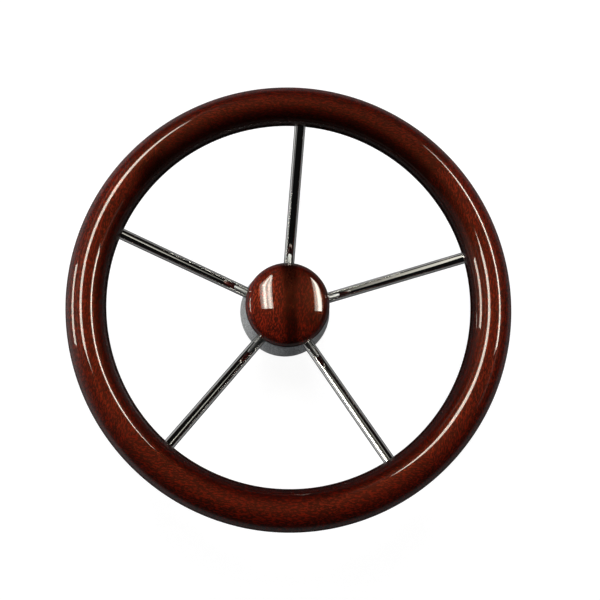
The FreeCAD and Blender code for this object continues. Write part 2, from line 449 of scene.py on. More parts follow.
def wire_timber(tree, given):
    """Rings, ribbons, flecks, pores and clouds of a board whose grain runs along X."""
    drift = stretched_noise(tree, given["Board"], *drift_patch, 1.0)["Color"]
    centred = vector_calc(tree, "SUBTRACT", drift, (0.5, 0.5, 0.5))
    sway = node(tree, "VectorMath", {0: centred, "Scale": sway_reach}, operation="SCALE")
    board = vector_calc(tree, "ADD", given["Board"], sway.outputs[0])

    across = vector_calc(tree, "MULTIPLY", board, (0.0, 1.0, 1.0))
    years = calc(tree, "DIVIDE", vector_calc(tree, "LENGTH", across), given["Ring Spacing"])
    wobble = stretched_noise(tree, board, *wobble_patch, 2.0)["Fac"]
    years = calc(tree, "ADD", years, calc(tree, "MULTIPLY", wobble, wobble_share))
    rings = calc(tree, "POWER", calc(tree, "FRACT", years), late_wood_power)

    ribbon = stretched_noise(tree, board, *ribbon_patch, 2.0)["Fac"]
    cloud = stretched_noise(tree, board, *cloud_patch, 1.0)["Fac"]
    length, width = given["Fleck Length"], given["Fleck Width"]
    flecks = stretched_noise(tree, board, length, width, 2.0, 0.6)["Fac"]
    pore_length = calc(tree, "MULTIPLY", length, pore_to_fleck_length)
    pore_width = calc(tree, "MULTIPLY", width, pore_to_fleck_width)
    pores = stretched_noise(tree, board, pore_length, pore_width, 1.0)["Fac"]
    found = {"Rings": rings, "Ribbon": ribbon, "Flecks": flecks, "Pores": pores, "Cloud": cloud}
    return {mask: spread(tree, found[mask], *figure_ranges[mask]) for mask in figure_ranges}


timber_inputs = {
    "Board": None, "Ring Spacing": 5 * MM, "Fleck Length": 3.6 * MM, "Fleck Width": 1.1 * MM}
timber_group = new_group("timber_figure", timber_inputs, wire_timber)

# %% [markdown]
# Metal and plastic tell how they were worked. Polishing leaves hairlines along the rod, blasting
# a fine even pitting, and a lathe tool circles. Cut into the mesh, such marks would take
# millions of faces. Masks made from noise and from the place on the piece cost no faces at all,
# and they serve the colour, the roughness and the bump of any material.

# %% Node groups: hairlines, blasting and lathe marks
smears_per_metre = 60.0
clouds_per_metre = 70.0
patches_per_metre = 150.0
hairline_range, smear_range = (0.4, 0.7), (0.35, 0.65)
pit_range, cloud_range = (0.38, 0.62), (0.35, 0.65)
mark_range = (0.0, 0.35)


def wire_hairlines(tree, given):
    """Streaks along the local Z axis, and slow smears."""
    width, length = given["Width"], given["Length"]
    size = node(tree, "CombineXYZ", {0: width, 1: width, 2: length}).outputs[0]
    fine = noise(tree, vector_calc(tree, "DIVIDE", given["Place"], size), 1.0)["Fac"]
    broad = noise(tree, given["Place"], smears_per_metre, 3.0)["Fac"]
    return {
        "Hairlines": spread(tree, fine, *hairline_range),
        "Smears": spread(tree, broad, *smear_range),
    }


def wire_blasted(tree, given):
    """Even pitting with slow clouds over it."""
    per_metre = calc(tree, "DIVIDE", 1.0, given["Grain Size"])
    pits = noise(tree, given["Place"], per_metre)["Fac"]
    clouds = noise(tree, given["Place"], clouds_per_metre)["Fac"]
    return {
        "Pits": spread(tree, pits, *pit_range),
        "Clouds": spread(tree, clouds, *cloud_range),
    }


def wire_lathe_marks(tree, given):
    """Circles about the Z axis, one for each step of the tool."""
    flat = vector_calc(tree, "MULTIPLY", given["Place"], (1.0, 1.0, 0.0))
    height = node(tree, "SeparateXYZ", {0: given["Place"]}).outputs["Z"]
    along = calc(tree, "ADD", vector_calc(tree, "LENGTH", flat), height)
    grooves = calc(tree, "PINGPONG", calc(tree, "DIVIDE", along, given["Feed"]), 0.5)
    patches = noise(tree, given["Place"], patches_per_metre)["Fac"]
    return {"Marks": spread(tree, calc(tree, "MULTIPLY", grooves, patches), *mark_range)}


hairline_group = new_group(
    "polishing_hairlines", {"Place": None, "Length": 30 * MM, "Width": 0.15 * MM}, wire_hairlines)
blasted_group = new_group(
    "blasted_surface", {"Place": None, "Grain Size": 0.8 * MM}, wire_blasted)
lathe_group = new_group("lathe_marks", {"Place": None, "Feed": 0.25 * MM}, wire_lathe_marks)

# %% [markdown]
# The colour isn't equally dark all over. The rim's inner side is darkened as painted shade, and a
# patch at its upper left is darker too. So is a ribbon straight across the cap, while the cap's
# lower left is paler. That could be painted by hand, but then the script would need a picture. A
# shade worked out from the place alone does the same. It is the share of the colour that is left.

# %% Where the colour is darker, with painted shade on the rim
# Painted shade on the rim's inner side: how far in it reaches, and how dark it gets
rim_shade_reach = grip_radius * 0.85
rim_shade_least = 0.2
darker_patch_place = polar(rim_radius - 9 * MM, 140.0)
darker_patch_core, darker_patch_edge = 9 * MM, 26 * MM
darker_patch_least = 0.3
cap_ribbon_across = (0.99, 0.1, 0.0)
cap_ribbon_middle = 1.8 * MM
cap_ribbon_core, cap_ribbon_edge = 4.0 * MM, 10.0 * MM
cap_ribbon_shade = 0.2
cap_waver = 7 * MM
cap_waver_patch = (4 * MM, 30 * MM)
cap_pale_way = (-0.75, -0.65, 0.0)
cap_pale_reach = 20 * MM
cap_pale_shades = (0.5, 2.0)


def painted_rim_shade(tree, where):
    """Painted shade on the rim's inner side, times a darker patch at its upper left."""
    flat = vector_calc(tree, "MULTIPLY", where, (1.0, 1.0, 0.0))
    radius = vector_calc(tree, "LENGTH", flat)
    inside = rim_radius - grip_radius
    inner_side = spread(tree, radius, inside, inside + rim_shade_reach, rim_shade_least, 1.0)
    from_figure = vector_calc(tree, "DISTANCE", flat, darker_patch_place)
    figure = spread(
        tree, from_figure, darker_patch_core, darker_patch_edge, darker_patch_least, 1.0)
    return calc(tree, "MULTIPLY", inner_side, figure)


def cap_shade(tree, where):
    """Shade of the cap: its dark ribbon and its paler side."""
    waver = stretched_noise(tree, where, *cap_waver_patch, 2.0)["Fac"]
    waver = calc(tree, "MULTIPLY", calc(tree, "SUBTRACT", waver, 0.5), cap_waver)
    across = vector_calc(tree, "DOT_PRODUCT", where, cap_ribbon_across)
    across = calc(tree, "SUBTRACT", across, cap_ribbon_middle)
    away = calc(tree, "ABSOLUTE", calc(tree, "ADD", across, waver))
    ribbon = spread(tree, away, cap_ribbon_core, cap_ribbon_edge, cap_ribbon_shade, 1.0)
    lower_left = vector_calc(tree, "DOT_PRODUCT", where, cap_pale_way)
    pale = spread(tree, lower_left, -cap_pale_reach, cap_pale_reach, *cap_pale_shades)
    return calc(tree, "MULTIPLY", ribbon, pale)


print("the darker patch is at", tuple(round(v, 3) for v in darker_patch_place))

# %% [markdown]
# The mahogany is stained dark red under a deep gloss varnish. The varnish could be a second,
# clear skin over the wood, but that doubles the mesh and shows at every joint. The shader's coat
# does it in one surface: it mirrors the room, while the wood under it stays soft. Mahogany also
# shimmers: beside each highlight its fibres throw back a red-gold light. A tinted highlight
# under the varnish does that, and the flecks, smoother than the wood round them, make it
# glitter. The rim is glued up from four boards and the cap is turned from a fifth, so each has
# its own direction and pith.

# %% Mahogany under varnish
deep_red = paint(24, 2, 3)
body_red = paint(54, 6, 5)
wood_layers = [
    ("Rings", 0.35, paint(80, 14, 9)),
    ("Flecks", 0.58, paint(154, 40, 19)),
    ("Pores", 0.7, paint(16, 3, 3)),
]
varnish_over_sheen = {
    "Specular IOR Level": 0.22,
    "Specular Tint": (1.0, 0.21, 0.08, 1.0),
    "Coat Weight": 0.4,
    "Coat Roughness": 0.02,
    "Coat IOR": 1.6,
}
ribbon_share, cloud_share = 0.6, 0.4
fibre_roughness, fleck_roughness = 0.55, 0.2
wood_relief = (0.5, 0.05 * MM)

# Where the shade, painted shade included, falls from plain to dark, the roughness falls to this
# share
plain_colour_share, dark_colour_share, dark_colour_smoothing = 0.9, 0.2, 0.6


def mahogany(name, turn, pith, tilt, tone, shade):
    """Varnished mahogany whose grain lies at an angle about Z, round a pith line.

    The tone makes a whole board lighter or darker, and the shade changes it from place to place.
    """
    material, tree, shader = new_material(name, varnish_over_sheen)
    where = own_place(tree)
    turned = node(tree, "Mapping", {"Vector": where, "Rotation": (0.0, 0.0, -math.radians(turn))})
    board = node(tree, "Mapping", {
        "Vector": turned.outputs[0],
        "Location": pith,
        "Rotation": (0.0, math.radians(tilt), math.radians(tilt)),
    })
    figure = use(tree, timber_group, {"Board": board.outputs[0]})

    light = calc(tree, "MULTIPLY", figure["Ribbon"], ribbon_share)
    light = calc(tree, "ADD", light, calc(tree, "MULTIPLY", figure["Cloud"], cloud_share))
    wood = tint(tree, light, deep_red, body_red)
    for mask, share, colour in wood_layers:
        wood = tint(tree, calc(tree, "MULTIPLY", figure[mask], share), wood, colour)
    # The shade scales the colour; on the rim's inner side it is painted shade
    left = shade(tree, where)
    scale = calc(tree, "MULTIPLY", left, tone)
    toned = node(tree, "VectorMath", {0: wood, "Scale": scale}, operation="SCALE").outputs[0]
    rough = spread(tree, figure["Flecks"], 0.0, 1.0, fibre_roughness, fleck_roughness)
    smoothing = spread(tree, left, dark_colour_share, plain_colour_share, dark_colour_smoothing, 1.0)
    rough = calc(tree, "MULTIPLY", rough, smoothing)
    grain = calc(tree, "SUBTRACT", figure["Flecks"], figure["Pores"])
    wire_finish(tree, shader, toned, rough, grain, wood_relief)
    return material


print("mahogany is ready to be cut into boards")

# %% [markdown]
# The rods are stainless steel polished to a mirror. A metal without any roughness would do for
# that, but a perfect mirror looks like a drawing. So fine hairlines and slow smears from
# handling vary the roughness a little. Close to the hub, under the cap, the rod's colour is
# darkened as painted shade.

# %% A mirror polish
# Painted shade near the hub: the rod's colour darkens towards its inner end
foot_shade_reach = spoke_depth_in_hub + 3 * MM
foot_shade_fade = 14 * MM
foot_shade_share = 0.85
mirror_roughness = (0.03, 0.08)

rod_steel, tree, shader = new_material("polished_stainless", {"Metallic": 1.0})
on_rod = own_place(tree)
worked = use(tree, hairline_group, {"Place": on_rod})
steel = tint(tree, worked["Smears"], paint(226, 226, 224), paint(212, 213, 212))
from_end = node(tree, "SeparateXYZ", {0: on_rod}).outputs["Z"]
# Painted shade: under the cap the steel's colour is darkened
painted_foot_shade = spread(tree, from_end, foot_shade_reach, foot_shade_reach + foot_shade_fade, foot_shade_share, 0.0)
steel = tint(tree, painted_foot_shade, steel, paint(92, 90, 88))
both = calc(tree, "ADD", worked["Hairlines"], worked["Smears"])
rough = spread(tree, both, 0.0, 2.0, *mirror_roughness)
wire_finish(tree, shader, steel, rough, worked["Hairlines"], relief=(0.08, 0.01 * MM))
print("the rods' steel has", len(tree.nodes), "nodes")

# %% [markdown]
# The screws and the hub's core are the same steel as the lathe leaves it. Each could have a
# chain of nodes of its own, but all turned surfaces differ in the same few things: the tool's
# feed, two shades, the roughness and the relief. So one function makes them, here in steel and
# further on in alloy and in nylon.

# %% Steel as the lathe leaves it


def turned_finish(name, feed, light, dark, roughness, relief, metallic=1.0):
    """Surface with the marks of the lathe, in two shades."""
    material, tree, shader = new_material(name, {"Metallic": metallic})
    marks = use(tree, lathe_group, {"Place": own_place(tree), "Feed": feed})["Marks"]
    colour = tint(tree, marks, paint(*light), paint(*dark))
    wire_finish(tree, shader, colour, spread(tree, marks, 0.0, 1.0, *roughness), marks, relief)
    return material


plain_steel = turned_finish(
    "stainless_screw", 0.25 * MM, (190, 190, 188), (168, 168, 166),
    roughness=(0.2, 0.34), relief=(0.2, 0.02 * MM))
turned_steel = turned_finish(
    "machined_stainless", 0.5 * MM, (200, 200, 198), (178, 178, 176),
    roughness=(0.2, 0.34), relief=(0.2, 0.02 * MM))
print("turned steels:", plain_steel.name, "and", turned_steel.name)

# %% [markdown]
# The hub's casting is light alloy, bead-blasted to an even grey satin. Roughness alone would
# make it look painted, so its pits are a darker colour and a bump as well. Its rear face and
# bores are bright from the lathe, because the helm and the core seat there, so the casting takes
# two materials.

# %% Satin alloy and bright alloy
pits_share = 0.8
satin_roughness = (0.42, 0.55)

hub_satin, tree, shader = new_material("satin_aluminium", {"Metallic": 1.0})
blasted = use(tree, blasted_group, {"Place": own_place(tree)})
alloy = tint(tree, blasted["Clouds"], paint(244, 247, 251), paint(222, 225, 230))
pits = calc(tree, "MULTIPLY", blasted["Pits"], pits_share)
alloy = tint(tree, pits, alloy, paint(100, 105, 112))
rough = spread(tree, blasted["Pits"], 0.0, 1.0, *satin_roughness)
wire_finish(tree, shader, alloy, rough, blasted["Pits"], relief=(0.35, 0.05 * MM))

hub_bright = turned_finish(
    "machined_aluminium", 0.25 * MM, (205, 207, 209), (182, 184, 187),
    roughness=(0.22, 0.36), relief=(0.25, 0.03 * MM))
print("alloys:", hub_satin.name, "and", hub_bright.name)

# %% [markdown]
# The plug is turned nylon, with the marks of the lathe but no metal in its shader. The seal ring
# is moulded rubber with a faint bloom, which the blasting group gives with a finer grain. The
# hidden tongues are pale sawn hardwood without varnish. Plain colours could do for pieces that
# hardly show, but the groups are there already, and each piece gets a real surface for a few
# lines.

# %% Nylon, rubber and plain hardwood
rubber_roughness, sawn_roughness = (0.55, 0.7), (0.6, 0.72)
sawn_pore_share = 0.5

nylon = turned_finish(
    "black_nylon", 0.4 * MM, (38, 38, 39), (48, 48, 49),
    roughness=(0.38, 0.5), relief=(0.3, 0.04 * MM), metallic=0.0)

rubber, tree, shader = new_material("rubber", {})
moulded = use(tree, blasted_group, {"Place": own_place(tree), "Grain Size": 0.3 * MM})
black = tint(tree, moulded["Clouds"], paint(26, 26, 26), paint(38, 38, 37))
rough = spread(tree, moulded["Pits"], 0.0, 1.0, *rubber_roughness)
wire_finish(tree, shader, black, rough, moulded["Pits"], relief=(0.15, 0.02 * MM))

hardwood, tree, shader = new_material("hardwood", {})
sawn = use(tree, timber_group, {"Board": own_place(tree), "Ring Spacing": 2.5 * MM})
wood = tint(tree, sawn["Rings"], paint(178, 138, 96), paint(150, 108, 70))
pores = calc(tree, "MULTIPLY", sawn["Pores"], sawn_pore_share)
wood = tint(tree, pores, wood, paint(110, 76, 48))
rough = spread(tree, sawn["Flecks"], 0.0, 1.0, *sawn_roughness)
wire_finish(tree, shader, wood, rough, sawn["Pores"], relief=(0.4, 0.1 * MM))
print("materials so far:", len(bpy.data.materials))

# %% [markdown]
# The rim is the piece that the hands know. A ring can't be bent from one board without short
# grain, so four quarter arcs are sawn from planks, glued end to end with loose tongues inside,
# and turned to a round section. One torus would have the same shape, but its grain could run
# only one way. So each quarter is a mesh of its own, with its grain straight along its own
# plank, and the figure starts anew at every joint. The rings are close, because varnish shows
# every flat.

# %% The four rim segments
segment_sweep = 360 / segment_count
rings_per_segment = 96
grip_section = circle(rim_radius, rim_height, grip_radius, sides=64)
board_tones = [0.62, 1.2, 1.0, 1.2]
board_tilt = 2.0
pith_start, pith_step = (0.0, -0.09, 0.02), (0.31, -0.012, -0.03)

for number in range(1, segment_count + 1):
    start_angle = first_joint_angle + segment_sweep * (number - 1)
    rings = []
    for i in range(rings_per_segment + 1):
        angle = start_angle + segment_sweep * i / rings_per_segment
        rings.append([polar(radius, angle, height) for radius, height in grip_section])
    piece = skin(f"rim_quarter_{number}", rings, fill_ends=True)
    along_chord = start_angle + segment_sweep / 2 + 90
    pith = [start + step * number for start, step in zip(pith_start, pith_step)]
    piece.data.materials.append(mahogany(
        f"rim_mahogany_{number}", along_chord, pith, board_tilt, board_tones[number - 1],
        painted_rim_shade))
    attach(piece, "wheel")
    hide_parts(f"rim_segment_{number}")
print("faces in one quarter:", len(piece.data.polygons))

# %% [markdown]
# Five straight rods carry the rim. They rise from the hub at a steep angle, which gives the
# wheel its deep dish and keeps knuckles clear of the helm. Each is plain bar, chamfered at both
# ends and let into blind sockets. Its mesh could be made on the slope itself, but then the
# hairlines would run askew. So it is made along its own Z axis, and the object is laid on the
# rod's line.

# %% The five rods
rod_chamfer = 0.6 * MM
rod_sides = 72


def on_spoke_line(angle, offset):
    """Matrix that lays a piece made along Z onto a rod's line, from its inner end."""
    return (
        around(angle, barrel_radius, spoke_exit_height)
        @ Matrix.Rotation(math.pi / 2 - spoke_slope, 4, "Y")
        @ Matrix.Translation((0, 0, offset))
    )


def spoke_angle(i):
    """Angle of a rod about the shaft axis."""
    return first_spoke_angle + 360 * i / spoke_count


rod_end = spoke_radius - rod_chamfer
rod_profile = [
    (0, 0), (rod_end, 0), (spoke_radius, rod_chamfer),
    (spoke_radius, spoke_length / 2),
    (spoke_radius, spoke_length - rod_chamfer), (rod_end, spoke_length), (0, spoke_length),
]
for i in range(spoke_count):
    piece = lathe(f"rod_{i + 1}", rod_profile, rod_sides, closed=False)
    piece.matrix_world = on_spoke_line(spoke_angle(i), -spoke_depth_in_hub)
    piece.data.materials.append(rod_steel)
    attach(piece, "wheel")
    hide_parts(f"spoke_{i + 1}")
print("rod length in millimetres:", round(spoke_length / MM, 1))

# %% [markdown]
# The hub is a light alloy casting: a conical skirt that meets the helm, and a barrel that holds
# the rods. The rods' sockets lie askew to the shaft and can't be part of a turned section. So
# the section is turned first, with its small roundings, and then the rods' sockets and the holes
# of the set screws are cut, in the order that a machinist would take.

# %% The hub's casting
socket_clearance = 0.08 * MM
screw_clearance = 0.05 * MM
set_screw_radius = (set_screw_high.x - set_screw_low.x) / 2
hole_radius = set_screw_radius + screw_clearance
set_screw_at = (set_screw_high.y + set_screw_low.y) / 2
blind_end = 0.3 * MM
past_the_face = 1.0 * MM
face_margin = 0.01 * MM
stem_bore = core_stem_radius + core_fit
cup_bore = core_cup_radius + core_fit
hub_section = rounded([
    (stem_bore, 0, 0.3 * MM),
    (skirt_radius, 0, 1.2 * MM),
    (skirt_radius, skirt_lip_height, 0.8 * MM),
    (barrel_radius, skirt_height, 1.5 * MM),
    (barrel_radius, hub_top, 0.9 * MM),
    (cup_bore, hub_top, 0.3 * MM),
    (cup_bore, core_shoulder, 0),
    (stem_bore, core_shoulder, 0),
])

hub = lathe("hub_casting", hub_section, sides=160)
hub_tools = []
for i in range(spoke_count):
    socket = bar("socket_tool", spoke_radius + socket_clearance, -blind_end, spoke_length)
    hub_tools.append(place(socket, on_spoke_line(spoke_angle(i), -spoke_depth_in_hub)))
    hole = bar("hole_tool", hole_radius, -past_the_face, set_screw_high.z)
    hub_tools.append(place(hole, around(spoke_angle(i), set_screw_at)))
cut_away(hub, hub_tools)
keep_flats_flat(hub)

# The bright finish goes on the rear face and in the bores, where a tool has been
hub.data.materials.append(hub_satin)
hub.data.materials.append(hub_bright)
for face in hub.data.polygons:
    away = math.hypot(face.center.x, face.center.y)
    if face.center.z < face_margin or away < cup_bore + face_margin:
        face.material_index = 1
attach(hub, "wheel")
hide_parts("hub_body")
print("hub faces:", len(hub.data.polygons))

# %% [markdown]
# Alloy is too soft to grip a shaft, so a steel core is let into the casting from the front. Its
# stem has the tapered bore and the keyway, and its cup passes the nut's pull to the casting.
# Casting and core could be one mesh with two materials, but the fine line between them shows
# once the cap is off. So the core is turned as a piece of its own, bore and all, and only the
# keyway is cut.

# %% The hub's steel core
core_section = rounded([
    (taper_mouth_radius + taper_mouth_chamfer, 0, 0.1 * MM),
    (core_stem_radius, 0, 0.6 * MM),
    (core_stem_radius, core_shoulder, 0),
    (core_cup_radius, core_shoulder, 0.3 * MM),
    (core_cup_radius, hub_top, 0.3 * MM),
    (nut_recess_radius, hub_top, 0.9 * MM),
    (nut_recess_radius, nut_recess_floor, 0.6 * MM),
    (taper_end_radius, nut_recess_floor, 0.2 * MM),
    (taper_mouth_radius, taper_mouth_chamfer, 0),
], steps=4)

keyway_half = keyway_width / 2
keyway_tool = block(
    "keyway_tool",
    (-keyway_half, 0, -past_the_face),
    (keyway_half, taper_mouth_radius + keyway_depth, nut_recess_floor))
core = lathe("hub_core_turning", core_section)
cut_away(core, [keyway_tool])
core.data.materials.append(turned_steel)
keep_flats_flat(core)
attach(core, "wheel")
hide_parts("hub_core")
print("core faces:", len(core.data.polygons))

# %% [markdown]
# The cap is a mahogany dome, turned from one block. A squashed ball would come near it, but its
# highlights would bend in the wrong place. The real crown is a shallow arc and its edge a tight
# one, and they meet without a corner, so the windows' reflections run over the edge in one
# sweep. So the section is built from those arcs. Underneath it has a round seat for the plug and
# pilot holes for three screws.

# %% The cap
cap_edge_radius = 10.3 * MM
cap_dome_radius = 100.0 * MM
dome_steps, shoulder_steps, under_steps = 30, 24, 16
cap_seat_radius = plug_radius + 0.08 * MM
cap_screw_count = 3
cap_screw_head = (cap_screw_high.x - cap_screw_low.x) / 2
cap_screw_circle = cap_screw_high.y - cap_screw_head
cap_screw_shank = 1.75 * MM


def cap_section():
    """Half section of the dome, from the crown round to its seat."""
    edge_from_axis = cap_radius - cap_edge_radius
    dome_centre = cap_crown - cap_dome_radius
    rise = math.sqrt((cap_dome_radius - cap_edge_radius) ** 2 - edge_from_axis ** 2)
    edge_centre = (edge_from_axis, dome_centre + rise)
    meet_angle = math.atan2(rise, edge_from_axis)
    meet = (cap_dome_radius * math.cos(meet_angle),
            dome_centre + cap_dome_radius * math.sin(meet_angle))
    drop = edge_centre[1] - hub_top
    foot = (edge_centre[0] + math.sqrt(cap_edge_radius ** 2 - drop ** 2), hub_top)
    dome = bend((0, dome_centre), (0, cap_crown), meet, dome_steps)
    widest = (cap_radius, edge_centre[1])
    shoulder = bend(edge_centre, meet, widest, shoulder_steps)
    under = bend(edge_centre, widest, foot, under_steps)
    seat = [(cap_seat_radius, hub_top), (cap_seat_radius, plug_high.z), (0, plug_high.z)]
    return dome + shoulder[1:] + under[1:] + seat


def around_cap(i):
    """Matrix that carries a piece on the axis to one of the cap's screws."""
    return around(90 + 360 * i / cap_screw_count, cap_screw_circle)


cap = lathe("cap_dome", cap_section(), sides=192, closed=False)
pilot_holes = []
for i in range(cap_screw_count):
    pilot = bar("pilot_tool", cap_screw_shank, plug_high.z - past_the_face, cap_screw_high.z)
    pilot_holes.append(place(pilot, around_cap(i)))
cut_away(cap, pilot_holes)
cap.data.materials.append(mahogany(
    "cap_mahogany", turn=86.0, pith=(0.9, -0.03, 0.05), tilt=3.0, tone=1.0, shade=cap_shade))
keep_flats_flat(cap)
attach(cap, "cap_set")
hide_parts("cap")
print("cap faces:", len(cap.data.polygons))

# %% [markdown]
# Under the cap a nylon plug pushes into the nut recess, and a rubber ring in its groove grips
# the recess and keeps spray off the nut. Both come into view when the cap is pulled off. The
# ring could be a ready-made torus, but turned from a circle it takes its size and its height
# from the same box as its groove.

# %% The plug and its ring
plug_web_bottom = cap_screw_low.z
plug_inner = plug_radius - 6.0 * MM
groove_half = ring_section + 0.05 * MM
groove_floor = ring_radius - groove_half
groove_rounding = 0.15 * MM
plug_section = rounded([
    (0, plug_web_bottom, 0),
    (plug_inner, plug_web_bottom, 0.4 * MM),
    (plug_inner, plug_low.z, 0.4 * MM),
    (plug_radius, plug_low.z, 0.8 * MM),
    (plug_radius, ring_height - groove_half, groove_rounding),
    (groove_floor, ring_height - groove_half, groove_rounding),
    (groove_floor, ring_height + groove_half, groove_rounding),
    (plug_radius, ring_height + groove_half, groove_rounding),
    (plug_radius, plug_high.z, 0.2 * MM),
    (0, plug_high.z, 0),
], steps=3)


def countersink_tool():
    """Tool of the screw's shape, a little larger all round."""
    low, gap = plug_web_bottom, screw_clearance
    cone = cap_screw_head - cap_screw_shank
    head, shank = cap_screw_head + gap, cap_screw_shank + gap
    below, above = low - past_the_face, plug_high.z + past_the_face
    profile = [
        (0, below), (head, below), (head, low), (shank, low + cone), (shank, above), (0, above)]
    return lathe("countersink_tool", profile, 48, closed=False)


plug = lathe("nylon_plug", plug_section)
cut_away(plug, [place(countersink_tool(), around_cap(i)) for i in range(cap_screw_count)])
plug.data.materials.append(nylon)
keep_flats_flat(plug)
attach(plug, "cap_set")
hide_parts("cap_plug")

seal_ring = lathe("seal_ring", circle(ring_radius, ring_height, ring_section, sides=24))
seal_ring.data.materials.append(rubber)
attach(seal_ring, "cap_set")
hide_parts("cap_seal_ring")
print("plug faces:", len(plug.data.polygons), "ring faces:", len(seal_ring.data.polygons))

# %% [markdown]
# A thread is a groove that climbs one pitch in each turn. A Screw modifier could wind one, but
# its ends would have to be fitted to the head and the point. On a surface of rings it is
# simpler: each point is pushed in by an amount that depends on its height and its angle, and the
# groove winds itself round the screw.

# %% A thread
rings_per_pitch = 8
thread_sides = 36
deepest_share = 0.6


def threaded(name, outline, thread, bare_below=0.0):
    """Screw along Z from (radius, height) points. No thread is cut under bare_below."""
    pitch, depth = thread
    low, high = outline[0][1], outline[-1][1]
    rows = round((high - low) / pitch * rings_per_pitch)
    heights = sorted({low + (high - low) * i / rows for i in range(rows + 1)}
                     | {height for _, height in outline})
    rings = []
    for height in heights:
        pairs = zip(outline, outline[1:])
        (r0, z0), (r1, z1) = next(pair for pair in pairs if height <= pair[1][1])
        full = r0 + (r1 - r0) * (height - z0) / (z1 - z0)
        ring = []
        for j in range(thread_sides):
            groove = abs((height / pitch - j / thread_sides) % 1 * 2 - 1) * depth
            groove = 0 if height < bare_below else min(groove, full * deepest_share)
            ring.append(polar(full - groove, 360 * j / thread_sides, height))
        rings.append(ring)
    return skin(name, rings, fill_ends=True)


print("a thread has", rings_per_pitch, "rings in each turn")

# %% [markdown]
# Behind each rod a headless screw locks it in the hub. It goes in from the rear face, so its
# hexagon socket is at its lower end. The socket could be more rings inside the screw, but they
# would have to change from round to six-sided. A hexagonal tool cuts it in one step.

# %% Set screws
set_screw_thread = (1.0 * MM, 0.5 * MM)
set_screw_chamfer = 0.8 * MM
hexagon_corner, hexagon_depth = 3.0 * MM / math.sqrt(3), 3.5 * MM

low, high = set_screw_low.z, set_screw_high.z
point = set_screw_radius - set_screw_chamfer
outline = [
    (point, low), (set_screw_radius, low + set_screw_chamfer),
    (set_screw_radius, high - set_screw_chamfer), (point, high),
]
ends = (low - past_the_face, low + hexagon_depth)
hexagon = [[polar(hexagon_corner, 60 * j, z) for j in range(6)] for z in ends]
for i in range(spoke_count):
    piece = threaded(f"set_screw_{i + 1}", outline, set_screw_thread)
    cut_away(piece, [skin("hexagon_tool", hexagon, fill_ends=True)])
    piece.matrix_world = around(spoke_angle(i), set_screw_at)
    piece.data.materials.append(plain_steel)
    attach(piece, "wheel")
    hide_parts(f"spoke_set_screw_{i + 1}")
print("faces in one set screw:", len(piece.data.polygons))

# %% [markdown]
# Three countersunk wood screws hold the plug to the cap. Each has a slot in its head, a bare
# neck, and a point that the thread runs out on. The set screws' helper could be written again
# for them, but only the outline, the pitch and the place where the thread starts are different.
# So the same helper makes them, and a block cuts the slot.

# %% Wood screws
wood_screw_thread = (1.4 * MM, 0.45 * MM)
wood_screw_point, wood_screw_tip = 3.0 * MM, 0.1 * MM
wood_screw_bare = 1.5 * MM
slot_half, slot_depth = 0.5 * MM, 1.1 * MM

low, high = cap_screw_low.z, cap_screw_high.z
neck = low + cap_screw_head - cap_screw_shank
outline = [
    (cap_screw_head, low), (cap_screw_shank, neck),
    (cap_screw_shank, high - wood_screw_point), (wood_screw_tip, high),
]
slot_low = (-2 * cap_screw_head, -slot_half, low - past_the_face)
slot_high = (2 * cap_screw_head, slot_half, low + slot_depth)
for i in range(cap_screw_count):
    piece = threaded(
        f"wood_screw_{i + 1}", outline, wood_screw_thread, neck + wood_screw_bare)
    cut_away(piece, [block("slot_tool", slot_low, slot_high)])
    piece.matrix_world = around_cap(i)
    piece.data.materials.append(plain_steel)
    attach(piece, "cap_set")
    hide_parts(f"cap_screw_{i + 1}")
print("faces in one wood screw:", len(piece.data.polygons))

# %% [markdown]
# The tongues lie inside the glue joints, where nobody will see them. They could be made anew,
# but the frame's own solids have the right shape already. So they keep those, and get the pale
# hardwood.

# %% The tongues keep their solids
for i in range(segment_count):
    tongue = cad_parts[f"rim_tongue_{i + 1}"]
    tongue.data.materials.clear()
    tongue.data.materials.append(hardwood)
print("tongues dressed:", segment_count)

# %% [markdown]
# The camera stands where the photographer stood: nearly straight above the wheel, a little below
# its middle and about 90 centimetres away. The wheel isn't in the middle of the frame. Turning
# the camera would put it there, but it would change the rim's outline too. So the lens is
# shifted, which keeps the perspective true.

# %% Camera
camera_place = Vector((-28.1, -91.1, 900.2)) * MM
camera_forward = Vector((0.0063, 0.1873, -0.9823)).normalized()
picture_up = Vector((-0.0684, 0.9977, 0.0))

camera_data = bpy.data.cameras.new("camera")
camera_data.sensor_width = 36.0
camera_data.lens = 53.18
camera_data.shift_x = 0.0529
camera_data.shift_y = -0.1122
camera_data.dof.use_dof = False
camera = add_object("camera", camera_data)
camera_right = camera_forward.cross(picture_up).normalized()
camera_up = camera_right.cross(camera_forward)
turn = Matrix((camera_right, camera_up, -camera_forward)).transposed()
camera.matrix_world = Matrix.Translation(camera_place) @ turn.to_4x4()
bpy.context.scene.camera = camera
print("camera at", tuple(round(v, 3) for v in camera_place))

# %% [markdown]
# Gloss is drawn by what it mirrors: in the photo, a dark room with two tall curtained windows
# behind the camera, one to each side, and a narrow strip of light far to the left. Area lamps
# could stand for the windows, but each would be a plain rectangle with an even light. The real
# windows lean at their sides, because a curtain is drawn aside at their top. So each light is a
# glowing patch of a large sphere round the wheel, with sides at any slope. Dim fringes beside
# the windows show on the rods as grey stripes. Only mirrors see all of these.

# %% How a light is placed
picture_turn = math.radians(3.92)
window_distance = 9.0
window_middle = Vector((0, 0, rim_height))


def toward(across, up):
    """Direction from the wheel, in degrees to the picture's right and upwards."""
    across, up = math.radians(across), math.radians(up)
    straight = Vector((math.sin(across) * math.cos(up), math.sin(up),
                       math.cos(across) * math.cos(up)))
    return Matrix.Rotation(picture_turn, 3, "Z") @ straight


